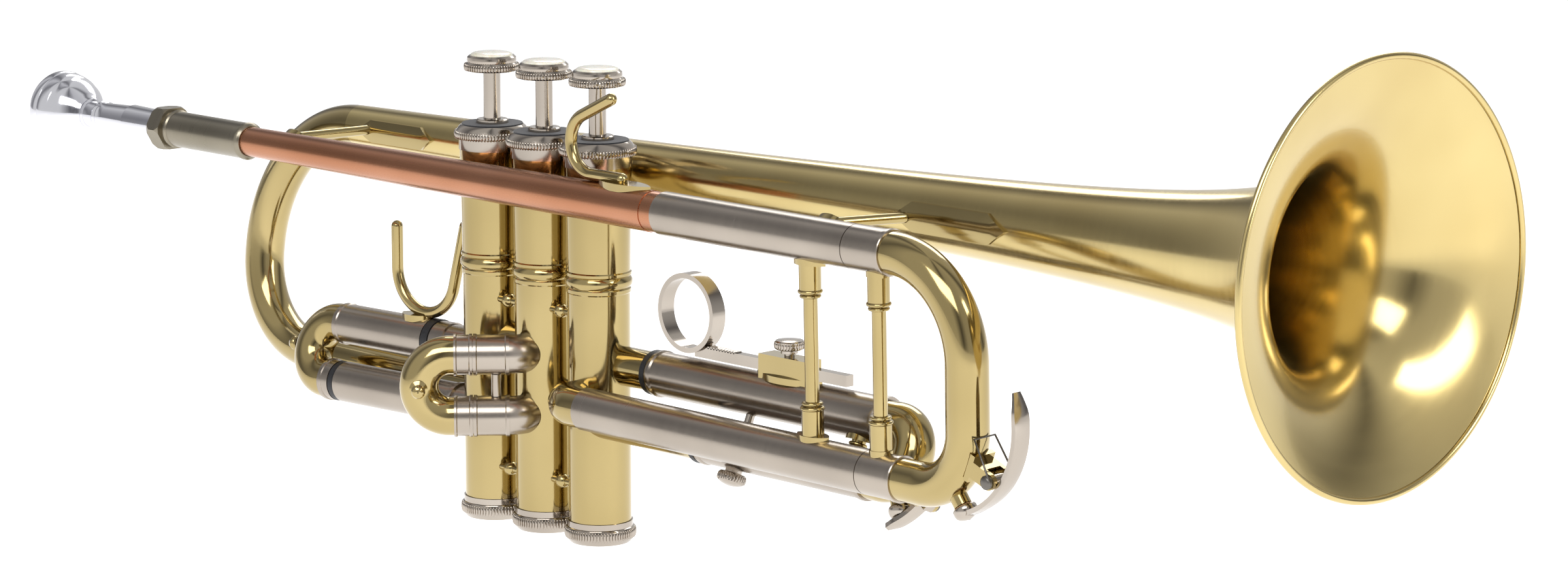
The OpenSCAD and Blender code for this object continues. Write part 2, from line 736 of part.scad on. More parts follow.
// Crescent lever with a round finger plate
module main_key_lever() {
    lever_r = 29;
    color(NICKEL) main_bend() {
        key_works(tuning_low_r + tuning_r + 3.2, main_key[0], main_key[1], main_key[2], 1.6);
        translate([9.7, -4.3, 0]) {
            rotate([0, 0, -12]) rotate_extrude(angle = 81) translate([lever_r - 0.7, -2.3])
                square([1.4, 4.6]);
            rotate([0, 0, -10]) translate([lever_r - 0.65, 0, 0]) rotate([0, 90, 0])
                cylinder(h = 1.3, r = 4.2);
            rotate([0, 0, 39.6]) translate([26.6, -1, -1.8]) cube([2.2, 2, 3.6]);
        }
    }
}

module main_key_cork() {
    color(CORK) main_bend() key_pad(tuning_low_r + tuning_r + 3.2, main_key[0]);
}

module main_key_spring() {
    color(STEEL) main_bend() key_wire(main_key[1], main_key[2], -117, 12);
}

// Short lever that ends in a curled finger plate
module third_key_lever() {
    dist = slide_3_drop / 2 + tuning_r + 3.2;
    color(NICKEL) third_bend() {
        key_works(dist, third_key[0], third_key[1], third_key[2], 0.8);
        difference() {
            translate([-2.6, -1.2, 0]) rotate([0, 0, 22]) rotate_extrude(angle = 35)
                translate([24.3, -2]) square([1.4, 4]);
            rotate([0, 0, third_key[1]]) translate([third_key[2], 0, -3]) cylinder(h = 6, r = 1.4);
        }
        rotate([0, 0, 21]) translate([22.3, 0.5, -2.6]) cube([5.5, 1.4, 5.2]);
    }
}

module third_key_cork() {
    color(CORK) third_bend() key_pad(slide_3_drop / 2 + tuning_r + 3.2, third_key[0]);
}

module third_key_spring() {
    color(STEEL) third_bend() key_wire(third_key[1], third_key[2], -112, 6);
}

// ---- Main tuning slide -----------------------------------------------------

// Inner leg along +X whose outer end carries a ferrule and a rounded ring
module leg(length, ferrule) {
    rotate([0, 90, 0]) rotate_extrude() polygon([
        [bore_r, 0], [leg_r, 0], [leg_r, length - ferrule], [sleeve_r, length - ferrule],
        [sleeve_r, length - 1.8], [6.9, length - 1.5], [6.9, length - 0.3], [6.7, length],
        [bore_r, length]
    ]);
}

module tuning_legs() {
    color(NICKEL) {
        translate([84, lead_y, lead_z]) leg(tuning_bow_x - 84, tuning_bow_x - upper_joint_x - joint_gap);
        translate([100, main_low_y, main_low_z]) leg(74, 174 - lower_joint_x - joint_gap);
    }
}

module tuning_bow() {
    low_x = tuning_end_x - tuning_low_r;
    color(BRASS) difference() {
        main_plane() translate([tuning_bow_x, 0, 0])
            turn(tuning_top_r, 90, tuning_r, bore_r)
            run(main_drop - tuning_top_r - tuning_low_r, tuning_r, bore_r)
            turn(tuning_low_r, 90, tuning_r, bore_r)
            run(low_x - 174, tuning_r, bore_r);
        main_bend() key_hole(tuning_low_r, main_key[0]);
    }
}

module tuning_brace() {
    color(BRASS) main_plane() translate([165, 0, 0]) rotate([-90, 0, 0]) brace(main_drop, sleeve_r, 7.6);
}

// ---- First valve slide -----------------------------------------------------

module slide_1_ports() {
    color(NICKEL) difference() {
        slide_1_plane() {
            translate([2, 0, 0]) run(68, leg_r, bore_r);
            translate([22, 0, 0]) run(5.8, sleeve_r, leg_r + 0.02);
            translate([2, slide_1_drop, 0]) rotate([0, 90, 0]) rotate_extrude() polygon([
                [bore_r, 0], [leg_r, 0], [leg_r, 9.5], [6.8, 9.5], [6.9, 10], [6.9, 11], [sleeve_r, 11.5],
                [sleeve_r, 63.6], [leg_r + fit, 63.6], [leg_r + fit, 14], [bore_r, 14]
            ]);
        }
        at_valve(1) cylinder(h = 120, r = seat_r);
    }
}

module slide_1_legs() {
    color(NICKEL) slide_1_plane() {
        translate([31.3, 0, 0]) rotate([0, 90, 0]) rotate_extrude() polygon([
            [leg_r + fit, 0], [6.9, 0], [6.9, 1.5], [sleeve_r, 1.8], [sleeve_r, 39.6], [6.9, 40],
            [6.9, 41.4], [6.7, 41.7], [leg_r + fit, 41.7]
        ]);
        translate([30, slide_1_drop, 0]) leg(43, 4.7);
    }
}

module slide_1_bumper() {
    color(BLACK) slide_1_plane() translate([65.9, slide_1_drop, 0]) run(2.1, 6.5, leg_r + 0.02);
}

// Bow of the first slide with its pull knob
module slide_1_bow() {
    bend = slide_1_drop / 2;
    crest = slide_1_joint + 2 + bend;
    color(BRASS) slide_1_plane() {
        translate([slide_1_joint, 0, 0])
            run(2, tuning_r, bore_r)
            turn(bend, 90, tuning_r, bore_r)
            turn(bend, 90, tuning_r, bore_r)
            run(2, tuning_r, bore_r);
        translate([crest + 5.9, bend, 0]) pull_knob(3.6);
    }
}

// Turned knob along +X that starts inside the wall of a bow
module pull_knob(flange_r) {
    rotate([0, 90, 0]) rotate_extrude() polygon([
        [0, 0], [flange_r, 0], [flange_r, 0.9], [flange_r - 0.8, 1.3], [1.5, 1.6], [1.3, 2.2],
        [1.8, 2.6], [2.2, 3.4], [2.2, 4.2], [1.7, 5.1], [0.9, 5.6], [0, 5.7]
    ]);
}

// Open thumb hook brazed to the first slide's sleeve
module thumb_hook() {
    hook_r = 1.9;
    hook_top = slide_1_top_z + 35.3;
    color(BRASS) slide_1_frame() difference() {
        union() {
            translate([48, slide_1_y, hook_top]) rotate([0, 90, 0]) rotate([-90, 0, 0]) {
                sphere(r = hook_r);
                rod(13.5, hook_r) rod_turn(13.3, 165, hook_r) rod(21, hook_r) sphere(r = hook_r);
            }
            translate([39, slide_1_y, slide_1_top_z]) foot(13, 8, sleeve_r, 1);
        }
        translate([0, slide_1_y, slide_1_top_z]) rotate([0, 90, 0]) cylinder(h = 60, r = sleeve_r + 0.02);
    }
}

// ---- Second valve slide ----------------------------------------------------

slide_2_leg_r = 5.93;
slide_2_bore_r = 5.6;

module slide_2_ports() {
    color(NICKEL) {
        for (z = [slide_2_top_z, slide_2_low_z]) {
            stub(2, -90, 0, z, port_reach, 6.1, slide_2_bore_r);
            translate([0, -port_reach, z]) rotate([0, 0, -90]) mirror([0, 1, 0])
                turn(slide_2_elbow_r, slide_2_angle, 6.1, slide_2_bore_r);
            slide_2_frame() translate([0, 0, z]) rotate([0, 90, 0]) rotate_extrude() polygon([
                [slide_2_bore_r, 0], [6.6, 0], [6.6, 1.0], [slide_2_r, 1.3],
                [slide_2_r, slide_2_joint - 1.2], [6.6, slide_2_joint - 0.9], [6.6, slide_2_joint],
                [slide_2_leg_r + fit, slide_2_joint], [slide_2_leg_r + fit, 0.4], [slide_2_bore_r, 0.4]
            ]);
        }
        slide_2_frame() translate([4.2, 0, slide_2_low_z + slide_2_r])
            cylinder(h = slide_2_drop - 2 * slide_2_r, r = 1.5);
    }
}

module slide_2_legs() {
    color(NICKEL) slide_2_frame() for (z = [slide_2_top_z, slide_2_low_z])
        translate([0.8, 0, z]) rotate([0, 90, 0]) rotate_extrude() polygon([
            [slide_2_bore_r, 0], [slide_2_leg_r, 0], [slide_2_leg_r, 10.7], [6.6, 10.7], [6.6, 11.5],
            [slide_2_r, 11.8], [slide_2_r, 15.5], [6.6, 15.8], [6.6, 16.5], [slide_2_bore_r, 16.5]
        ]);
}

module slide_2_bow() {
    color(BRASS) slide_2_frame() {
        loop_plane(0, slide_2_top_z, 0, slide_2_low_z) translate([17.3, 0, 0])
            run(1.2, 6.1, slide_2_bore_r)
            turn(slide_2_drop / 2, 90, 6.1, slide_2_bore_r)
            turn(slide_2_drop / 2, 90, 6.1, slide_2_bore_r)
            run(1.2, 6.1, slide_2_bore_r);
        translate([18.5 + slide_2_drop / 2, 5.7, slide_2_low_z + slide_2_drop / 2]) rotate([0, 0, 90])
            pull_knob(2.9);
    }
}

// ---- Third valve slide -----------------------------------------------------

module slide_3_ports() {
    color(BRASS) difference() {
        slide_3_plane() {
            translate([valve_pitch + 2, 0, 0]) run(113, leg_r, bore_r);
            translate([valve_pitch + 2, slide_3_drop, 0]) run(113, leg_r, bore_r);
        }
        at_valve(3) cylinder(h = 120, r = seat_r);
        at_valve(3) translate([0, 0, main_low_z]) rotate([90, 0, 0])
            cylinder(h = 14, r = leg_r + 0.1);
    }
}

// Sleeve along +X with a rounded ring at either end
module sleeve(length, ro, ring_r) {
    rotate([0, 90, 0]) rotate_extrude() polygon([
        [leg_r + fit, 0], [ro + 0.25, 0], [ring_r, 0.5], [ring_r, 1.6], [ro, 2.1],
        [ro, length - 2.1], [ring_r, length - 1.6], [ring_r, length - 0.5], [ro + 0.25, length],
        [leg_r + fit, length]
    ]);
}

module slide_3_legs() {
    color(NICKEL) slide_3_plane() {
        translate([49.4, 0, 0]) sleeve(slide_3_joint - 49.4, slide_3_sleeve_r, 7.3);
        translate([78, slide_3_drop, 0]) sleeve(slide_3_joint - 78, sleeve_r, 6.95);
    }
}

module slide_3_bow() {
    length = slide_3_crest - slide_3_joint;
    color(BRASS) difference() {
        slide_3_plane() translate([slide_3_joint, 0, 0])
            run(length, tuning_r, bore_r)
            turn(slide_3_drop / 2, 90, tuning_r, bore_r)
            turn(slide_3_drop / 2, 90, tuning_r, bore_r)
            run(length, tuning_r, bore_r);
        third_bend() key_hole(slide_3_drop / 2, third_key[0]);
    }
}

module slide_3_brace() {
    color(BRASS) slide_3_plane() translate([139, 0, 0]) rotate([-90, 0, 0]) difference() {
        union() {
            translate([0, 0, 6]) cylinder(h = slide_3_drop - 12, r = 2.2);
            translate([0, 0, 8.7]) bead(2.9, 0.6);
            foot(11, 7, slide_3_sleeve_r, 0.8);
            translate([0, 0, slide_3_drop]) rotate([180, 0, 0]) foot(11, 7, sleeve_r, 0.8);
        }
        translate([-20, 0, 0]) rotate([0, 90, 0]) cylinder(h = 40, r = slide_3_sleeve_r + 0.02);
        translate([-20, 0, slide_3_drop]) rotate([0, 90, 0]) cylinder(h = 40, r = sleeve_r + 0.02);
    }
}

// Lyre screw: a post between the sleeves and a knurled nut under the lower one
module lyre_screw() {
    color(NICKEL) slide_3_plane() translate([lyre_x, 0, 0]) rotate([-90, 0, 0]) difference() {
        union() {
            translate([0, 0, 6]) cylinder(h = slide_3_drop - 12, r = 1.4);
            translate([0, 0, slide_3_drop + 6]) rotate_extrude() polygon([
                [0, 0], [2.6, 0], [2.6, 1.4], [4.0, 1.6], [4.2, 2.0], [4.2, 4.2], [3.9, 4.6], [2.6, 5.2],
                [1.2, 5.5], [0, 5.6]
            ]);
        }
        translate([-20, 0, 0]) rotate([0, 90, 0]) cylinder(h = 40, r = slide_3_sleeve_r + 0.02);
        translate([-20, 0, slide_3_drop]) rotate([0, 90, 0]) cylinder(h = 40, r = sleeve_r + 0.02);
    }
}

// Channel on the upper sleeve that the finger ring's bar slides in
module ring_saddle() {
    base_z = slide_3_top_z + 1.5;
    color(BRASS) translate([saddle_x, slide_3_top_y, 0]) difference() {
        union() {
            translate([-saddle_len / 2, -3.4, base_z]) cube([saddle_len, 6.8, ring_bar_z + 3.8 - base_z]);
            translate([0, 0, slide_3_top_z]) foot(saddle_len + 8, 10, slide_3_sleeve_r, 0.8);
        }
        translate([-saddle_len, -1.55, ring_bar_z - 1.75]) cube([2 * saddle_len, 3.1, 3.5]);
        translate([0, 0, ring_bar_z]) cylinder(h = 10, r = 1.6);
        translate([-30, 0, slide_3_top_z]) rotate([0, 90, 0]) cylinder(h = 60, r = slide_3_sleeve_r + 0.02);
    }
}

// Finger ring on its sliding bar
module finger_ring() {
    ring_x = 63.5;
    ring_z = ring_bar_z + 11.4;
    color(NICKEL) translate([0, slide_3_top_y, 0]) {
        difference() {
            union() {
                translate([ring_x, 2.6, ring_z]) rotate([90, 0, 0]) cylinder(h = 5.2, r = 12.3);
                translate([ring_x + 3, -1.5, ring_bar_z - 1.7]) cube([132 - ring_x - 3, 3, 3.4]);
            }
            translate([ring_x, 3.6, ring_z]) rotate([90, 0, 0]) cylinder(h = 7.2, r = 10.7);
        }
    }
}

// Knurled screw that clamps the bar
module ring_screw() {
    color(NICKEL) translate([saddle_x, slide_3_top_y, ring_bar_z]) rotate_extrude() polygon([
        [0, 2.0], [1.58, 2.0], [1.58, 4.5], [2.6, 4.8], [2.6, 5.9], [4.1, 6.0], [4.4, 6.3], [4.4, 8.3],
        [4.1, 8.7], [2.0, 9.0], [0, 9.0]
    ]);
}

// Rubber rings that cushion the slides when they are pushed home
module slide_bumpers() {
    color(BLACK) {
        slide_1_plane() translate([28, 0, 0]) run(3, 6.9, leg_r + 0.02);
        slide_3_plane() translate([47, 0, 0]) run(2.1, 7.0, leg_r + 0.02);
        slide_3_plane() translate([75.8, slide_3_drop, 0]) run(1.9, 6.9, leg_r + 0.02);
    }
}

// ---- Output ----------------------------------------------------------------

casing(1);  // casing_1
casing(2);  // casing_2
casing(3);  // casing_3
piston(1);  // piston_1
piston(2);  // piston_2
piston(3);  // piston_3
valve_stem(1);  // valve_stem_1
valve_stem(2);  // valve_stem_2
valve_stem(3);  // valve_stem_3
finger_button(1);  // finger_button_1
finger_button(2);  // finger_button_2
finger_button(3);  // finger_button_3
button_pearl(1);  // button_pearl_1
button_pearl(2);  // button_pearl_2
button_pearl(3);  // button_pearl_3
valve_spring(1);  // valve_spring_1
valve_spring(2);  // valve_spring_2
valve_spring(3);  // valve_spring_3
casing_links();
top_caps();
cap_felts();
bottom_caps();
valve_guides();
leadpipe();
receiver();
mouthpiece();
main_slide_tubes();
lower_knuckle();
horn_braces();
bell();
bell_bow();
pinky_hook();
tuning_bow();
tuning_legs();
tuning_brace();
main_key_saddle();
main_key_lever();
main_key_cork();
main_key_spring();
slide_1_ports();
slide_1_legs();
slide_1_bumper();
slide_1_bow();
thumb_hook();
slide_bumpers();
slide_2_ports();
slide_2_legs();
slide_2_bow();
slide_3_ports();
slide_3_legs();
slide_3_bow();
slide_3_brace();
lyre_screw();
ring_saddle();
finger_ring();
ring_screw();
third_key_saddle();
third_key_lever();
third_key_cork();
third_key_spring();
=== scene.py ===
"""Trumpet: finishes, turned detail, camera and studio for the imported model."""

import json
from math import atan2, cos, hypot, pi, radians, sin

import bmesh
import bpy
from mathutils import Matrix, Vector


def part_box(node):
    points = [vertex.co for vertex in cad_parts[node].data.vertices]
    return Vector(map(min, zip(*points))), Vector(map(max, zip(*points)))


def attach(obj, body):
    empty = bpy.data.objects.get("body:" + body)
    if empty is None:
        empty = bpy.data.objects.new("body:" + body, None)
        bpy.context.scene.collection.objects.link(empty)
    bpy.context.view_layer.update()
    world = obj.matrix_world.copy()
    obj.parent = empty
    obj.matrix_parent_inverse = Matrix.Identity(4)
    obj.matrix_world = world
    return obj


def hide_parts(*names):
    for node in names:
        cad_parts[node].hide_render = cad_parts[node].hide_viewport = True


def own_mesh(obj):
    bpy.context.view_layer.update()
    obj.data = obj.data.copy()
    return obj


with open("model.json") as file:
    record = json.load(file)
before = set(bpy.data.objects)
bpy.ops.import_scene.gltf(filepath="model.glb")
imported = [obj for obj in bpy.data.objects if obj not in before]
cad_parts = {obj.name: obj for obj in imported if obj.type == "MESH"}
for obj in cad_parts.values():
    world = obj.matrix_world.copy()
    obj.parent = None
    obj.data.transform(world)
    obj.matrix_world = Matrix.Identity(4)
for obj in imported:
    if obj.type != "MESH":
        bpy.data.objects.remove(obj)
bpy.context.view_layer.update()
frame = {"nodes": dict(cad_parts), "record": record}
nodes = frame["nodes"]
MM = 0.001


# ---- Materials ---------------------------------------------------------------

def linear(code):
    """sRGB hex colour as linear RGBA."""
    parts = [int(code[i:i + 2], 16) / 255 for i in (1, 3, 5)]
    return [p / 12.92 if p <= 0.04045 else ((p + 0.055) / 1.055) ** 2.4 for p in parts] + [1.0]


def put(tree, kind, inputs=None, **settings):
    """Adds a node; an input given another node's socket is linked, any other value is set."""
    node = tree.nodes.new(kind)
    for name, value in settings.items():
        setattr(node, name, value)
    for name, value in (inputs or {}).items():
        if isinstance(value, bpy.types.NodeSocket):
            tree.links.new(value, node.inputs[name])
        else:
            node.inputs[name].default_value = value
    return node


def ramp(tree, factor, *stops):
    """Colour ramp with (place, hex) stops."""
    node = put(tree, "ShaderNodeValToRGB", {"Fac": factor})
    bands = node.color_ramp.elements
    while len(bands) < len(stops):
        bands.new(0.5)
    for band, (place, code) in zip(bands, stops):
        band.position = place
        band.color = linear(code)
    return node.outputs["Color"]


def finish_of(name):
    """New material: its tree, its Principled shader and Object coordinates in metres."""
    material = bpy.data.materials.new(name)
    material.use_nodes = True
    tree = material.node_tree
    shader = tree.nodes["Principled BSDF"]
    place = put(tree, "ShaderNodeTexCoord").outputs["Object"]
    return material, tree, shader, place


def stretched(tree, place, scale):
    """Coordinates scaled unevenly, so that noise read there turns into lines."""
    return put(tree, "ShaderNodeMapping", {"Vector": place, "Scale": scale}).outputs["Vector"]


def noise(tree, place, size_mm, detail=3.0):
    """Noise whose blotches are about size_mm across."""
    node = put(tree, "ShaderNodeTexNoise",
               {"Vector": place, "Scale": 1000 / size_mm, "Detail": detail})
    return node.outputs["Fac"]


def rough_between(tree, shader, factor, low, high):
    """Roughness that follows a pattern between two values."""
    node = put(tree, "ShaderNodeMapRange", {"Value": factor, "To Min": low, "To Max": high})
    tree.links.new(node.outputs["Result"], shader.inputs["Roughness"])


def bumpy(tree, shader, height, depth_mm, strength):
    """Relief that follows a pattern, depth_mm deep."""
    node = put(tree, "ShaderNodeBump",
               {"Height": height, "Distance": depth_mm * MM, "Strength": strength})
    tree.links.new(node.outputs["Normal"], shader.inputs["Normal"])


def metal(name, colours, rough, lines, line_depth, coat=0.0, tarnish_mm=45):
    """Polished or brushed metal: slow colour drift, polishing lines and their tiny relief.

    lines says how closely the streaks stand along X, Y and Z, in lines per millimetre.
    """
    material, tree, shader, place = finish_of(name)
    drift = noise(tree, place, tarnish_mm, 2.0)
    tint = ramp(tree, drift, (0.3, colours[0]), (0.7, colours[1]))
    tree.links.new(tint, shader.inputs["Base Color"])
    shader.inputs["Metallic"].default_value = 1.0
    shader.inputs["Coat Weight"].default_value = coat
    shader.inputs["Coat Roughness"].default_value = 0.04
    streaks = noise(tree, stretched(tree, place, lines), 1.0, 4.0)
    rough_between(tree, shader, streaks, rough[0], rough[1])
    bumpy(tree, shader, streaks, line_depth, 0.35)
    return material


def lacquered_brass():
    # Cartridge brass, buffed and lacquered: mirror-like, pale gold, a clear coat over
    # faint buffing lines
    return metal("lacquered_brass_buffed", ("#B3A06E", "#A3905F"), (0.09, 0.15),
                 (0.10, 0.5, 0.5), 0.002, 0.35)


def bell_brass_painted_lighter():
    # The same brass spun on a mandrel: very fine rings round the bell soften its reflections. Its
    # colour is painted lighter than the other brass, standing in for the brighter light on the
    # bell
    return metal("lacquered_brass_spun_painted_lighter", ("#D2BE84", "#C4AE74"), (0.14, 0.22),
                 (0.9, 0.04, 0.04), 0.0012, 0.30)


def polished_nickel():
    # Nickel silver, buffed and bare: a bright warm grey with soft edges to its reflections
    return metal("nickel_silver_buffed", ("#B8AFA4", "#A3998E"), (0.10, 0.18),
                 (0.3, 0.3, 0.3), 0.002)


def brushed_nickel():
    # Nickel silver drawn and brushed round the tube: satin, with fine rings across it
    return metal("nickel_silver_brushed", ("#B2A89C", "#9F958A"), (0.20, 0.30),
                 (0.7, 0.03, 0.03), 0.0008)


def dark_nickel():
    # The receiver's nickel silver: coarser turning marks and a duller, browner grey
    return metal("nickel_silver_turned", ("#9A9282", "#878070"), (0.22, 0.36),
                 (1.0, 0.04, 0.04), 0.0025)


def silver_plate():
    # Silver plate over turned brass: the brightest metal here, nearly white
    return metal("silver_plate_bright", ("#EDEDF1", "#E0E0E6"), (0.08, 0.15),
                 (0.3, 0.3, 0.3), 0.001)


def rose_brass():
    # Rose brass, copper-rich, drawn and lacquered: a satin reddish sheen
    return metal("rose_brass_satin", ("#BE8666", "#B17755"), (0.22, 0.32),
                 (0.03, 0.9, 0.9), 0.003, 0.2)


def spring_steel():
    # Drawn wire: dark grey with a dull shine
    return metal("spring_steel_drawn", ("#77736E", "#66625D"), (0.28, 0.42),
                 (1.0, 1.0, 1.0), 0.003)


def mother_of_pearl():
    # Pearl inlay: creamy, with cloudy bands and a glassy polish over soft depth
    material, tree, shader, place = finish_of("mother_of_pearl_polished")
    clouds = noise(tree, place, 4.5, 3.0)
    cream = ramp(tree, clouds, (0.30, "#E3DBC4"), (0.50, "#EFEAD8"), (0.70, "#E6E2DA"))
    tree.links.new(cream, shader.inputs["Base Color"])
    shader.inputs["Subsurface Weight"].default_value = 0.12
    shader.inputs["Subsurface Scale"].default_value = 0.002
    shader.inputs["Coat Weight"].default_value = 0.6
    shader.inputs["Coat Roughness"].default_value = 0.06
    rough_between(tree, shader, clouds, 0.18, 0.30)
    bumpy(tree, shader, clouds, 0.01, 0.2)
    return material


def wool_felt():
    # Pressed wool felt: black, matt, with a short tangled nap
    material, tree, shader, place = finish_of("wool_felt_pressed")
    nap = noise(tree, place, 0.5, 5.0)
    black = ramp(tree, nap, (0.3, "#1B1B1E"), (0.7, "#34343A"))
    tree.links.new(black, shader.inputs["Base Color"])
    shader.inputs["Sheen Weight"].default_value = 0.3
    rough_between(tree, shader, nap, 0.85, 0.98)
    bumpy(tree, shader, nap, 0.15, 0.6)
    return material


def moulded(name, colours, rough, grain_mm, depth_mm):
    """Moulded rubber or nylon: even colour with a faint moulded grain."""
    material, tree, shader, place = finish_of(name)
    grain = noise(tree, place, grain_mm, 4.0)
    tint = ramp(tree, grain, (0.3, colours[0]), (0.7, colours[1]))
    tree.links.new(tint, shader.inputs["Base Color"])
    rough_between(tree, shader, grain, rough[0], rough[1])
    bumpy(tree, shader, grain, depth_mm, 0.3)
    return material


def natural_cork():
    # Cork disc: tan granules with darker bark flecks between them
    material, tree, shader, place = finish_of("cork_natural")
    granule_mm = 0.9
    cells = put(tree, "ShaderNodeTexVoronoi",
                {"Vector": place, "Scale": 1000 / granule_mm}).outputs["Distance"]
    tan = ramp(tree, cells, (0.05, "#C79A67"), (0.55, "#A97C4B"), (0.8, "#6E4B2C"))
    tree.links.new(tan, shader.inputs["Base Color"])
    rough_between(tree, shader, cells, 0.75, 0.92)
    bumpy(tree, shader, cells, 0.08, 0.5)
    return material


BRASS = lacquered_brass()
SPUN_PAINTED_LIGHTER = bell_brass_painted_lighter()
NICKEL = polished_nickel()
BRUSHED = brushed_nickel()
TURNED = dark_nickel()
SILVER = silver_plate()
ROSE = rose_brass()
STEEL = spring_steel()
PEARL = mother_of_pearl()
FELT = wool_felt()
# Rubber rings, moulded: near-black with a slight waxy shine
RUBBER = moulded("rubber_moulded", ("#151517", "#222226"), (0.42, 0.55), 0.6, 0.02)
# Nylon valve guides, moulded: off-white and slightly waxy
NYLON = moulded("nylon_moulded", ("#DAD6C8", "#E6E2D6"), (0.35, 0.48), 1.2, 0.01)
CORK = natural_cork()

FINISHES = {
    "lacquered_brass": BRASS, "nickel_silver": NICKEL, "silver_plate": SILVER,
    "rose_brass": ROSE, "pearl_inlay": PEARL, "nylon": NYLON, "felt": FELT,
    "rubber": RUBBER, "cork": CORK, "spring_steel": STEEL,
}
BRUSHED_NODES = ("main_slide_tubes", "tuning_legs", "slide_1_ports", "slide_1_legs",
                 "slide_2_ports", "slide_2_legs", "slide_3_legs")


def finish_cad_nodes():
    """Gives each node its finish, and smooth shading between sharp edges."""
    for part in frame["record"]["subparts"]:
        node = nodes[part["node"]]
        material = FINISHES[part["material_slot"]]
        if node.name in BRUSHED_NODES:
            material = BRUSHED
        if node.name == "receiver":
            material = TURNED
        node.data.materials.clear()
        node.data.materials.append(material)
        for face in node.data.polygons:
            face.use_smooth = True
        weld = node.modifiers.new("joined", "WELD")
        weld.merge_threshold = 0.002 * MM
        crease = node.modifiers.new("creases", "EDGE_SPLIT")
        crease.split_angle = radians(28)


# ---- Making and placing pieces -------------------------------------------------

def piece(name, bm, material, body, sharp=40):
    """Turns a bmesh into an object that rides on a body."""
    bmesh.ops.remove_doubles(bm, verts=bm.verts, dist=0.0005 * MM)
    bmesh.ops.recalc_face_normals(bm, faces=bm.faces)
    mesh = bpy.data.meshes.new(name)
    bm.to_mesh(mesh)
    bm.free()
    for face in mesh.polygons:
        face.use_smooth = True
    mesh.materials.append(material)
    made = bpy.data.objects.new(name, mesh)
    bpy.context.scene.collection.objects.link(made)
    crease = made.modifiers.new("creases", "EDGE_SPLIT")
    crease.split_angle = radians(sharp)
    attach(made, body)
    return made


def turned(outline, steps, closed=True):
    """Solid of revolution round +Z from (radius, height) points in millimetres."""
    bm = bmesh.new()
    rim = [bm.verts.new((r * MM, 0, z * MM)) for r, z in outline]
    edges = [bm.edges.new(pair) for pair in zip(rim, rim[1:])]
    if closed:
        edges.append(bm.edges.new((rim[-1], rim[0])))
    bmesh.ops.spin(bm, geom=rim + edges, cent=(0, 0, 0), axis=(0, 0, 1), angle=2 * pi,
                   steps=steps, use_merge=True)
    return bm


def knurls(radius, z, half_height, count, bulge=0.45):
    """Ring of rounded ridges round +Z, one low ridge copied round the axis."""
    bm = bmesh.new()
    half_width = 0.44 * 2 * pi * radius / count
    size = Matrix.Diagonal((bulge * MM, half_width * MM, half_height * MM, 1))
    made = bmesh.ops.create_uvsphere(bm, u_segments=8, v_segments=6, radius=1.0, matrix=size)
    bmesh.ops.translate(bm, verts=made["verts"], vec=(radius * MM, 0, z * MM))
    bmesh.ops.spin(bm, geom=bm.verts[:] + bm.edges[:] + bm.faces[:], cent=(0, 0, 0),
                   axis=(0, 0, 1), angle=2 * pi * (count - 1) / count, steps=count - 1,
                   use_duplicate=True)
    return bm


def add_turned(bm, outline, steps, place):
    """Adds an open turned outline, set by place, to a bmesh that is drawn in millimetres."""
    extra = turned(outline, steps, closed=False)
    bmesh.ops.scale(extra, vec=(1 / MM, 1 / MM, 1 / MM), verts=extra.verts)
    bmesh.ops.transform(extra, matrix=place, verts=extra.verts)
    scrap = bpy.data.meshes.new("scrap")
    extra.to_mesh(scrap)
    extra.free()
    bm.from_mesh(scrap)
    bpy.data.meshes.remove(scrap)


def settle(bm, frame_at):
    """Takes a bmesh drawn in millimetres in a local frame to its place in metres."""
    bmesh.ops.scale(bm, vec=(MM, MM, MM), verts=bm.verts)
    bmesh.ops.transform(bm, matrix=frame_at, verts=bm.verts)


# ---- Bell ---------------------------------------------------------------------

# Millimetres and degrees, as in the part's source: where the rim is, then the bell's own curve
RIM_X, BELL_Y, RIM_Z = 316.3, 21.4, 117.6
BELL_LEN, BELL_RISE, TAIL_R, TAPER = 434.3, 0.52, 6.7, 0.0063
FLARE, POLE, POWER, WALL = 43.8, 7.25, 0.672, 0.6


def flare(d):
    """What the horn curve adds to the radius at a distance d from the small end."""
    return FLARE * ((BELL_LEN - d + POLE) / 10) ** -POWER


def bell_radius(d):
    """Outside radius at a distance d from the small end."""
    return TAIL_R + TAPER * d + flare(d) - flare(0)


def spun_bell():
    """The bell as one smooth spun shell with a rolled rim wire."""
    count = 110
    crowding = 2.4  # above 1, the steps close up towards the rim, where the curve is tight
    step = 0.02
    outside, inside = [], []
    for i in range(count + 1):
        d = BELL_LEN * (1 - (1 - i / count) ** crowding)
        slope = (bell_radius(d + step) - bell_radius(d - step)) / (2 * step)
        length = hypot(1, slope)
        outside.append((bell_radius(d), d))
        inside.append((bell_radius(d) - WALL / length, d + WALL * slope / length))
    rim_r = bell_radius(BELL_LEN)
    bead = 0.45
    rim = [(rim_r - bead + cos(radians(a)), BELL_LEN + bead + sin(radians(a)))
           for a in range(-40, 181, 20)]
    bm = turned(outside + rim + inside[::-1], 144)
    tilt = Matrix.Rotation(radians(90 - BELL_RISE), 4, "Y")
    start_z = RIM_Z - BELL_LEN * sin(radians(BELL_RISE))
    start = Vector((RIM_X - BELL_LEN, BELL_Y, start_z)) * MM
    bmesh.ops.transform(bm, matrix=Matrix.Translation(start) @ tilt, verts=bm.verts)
    bell = piece("spun_bell", bm, SPUN_PAINTED_LIGHTER, "horn", 60)
    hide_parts("bell")


# ---- Knurling -------------------------------------------------------------------

# (y, z) of the third slide's upper and lower tube axes, and how far apart they are, mm
SLIDE_3_TOP, SLIDE_3_LOW = (3.5, 55.95), (-3.5, 40.0)
SLIDE_3_DROP = hypot(7.0, 15.95)


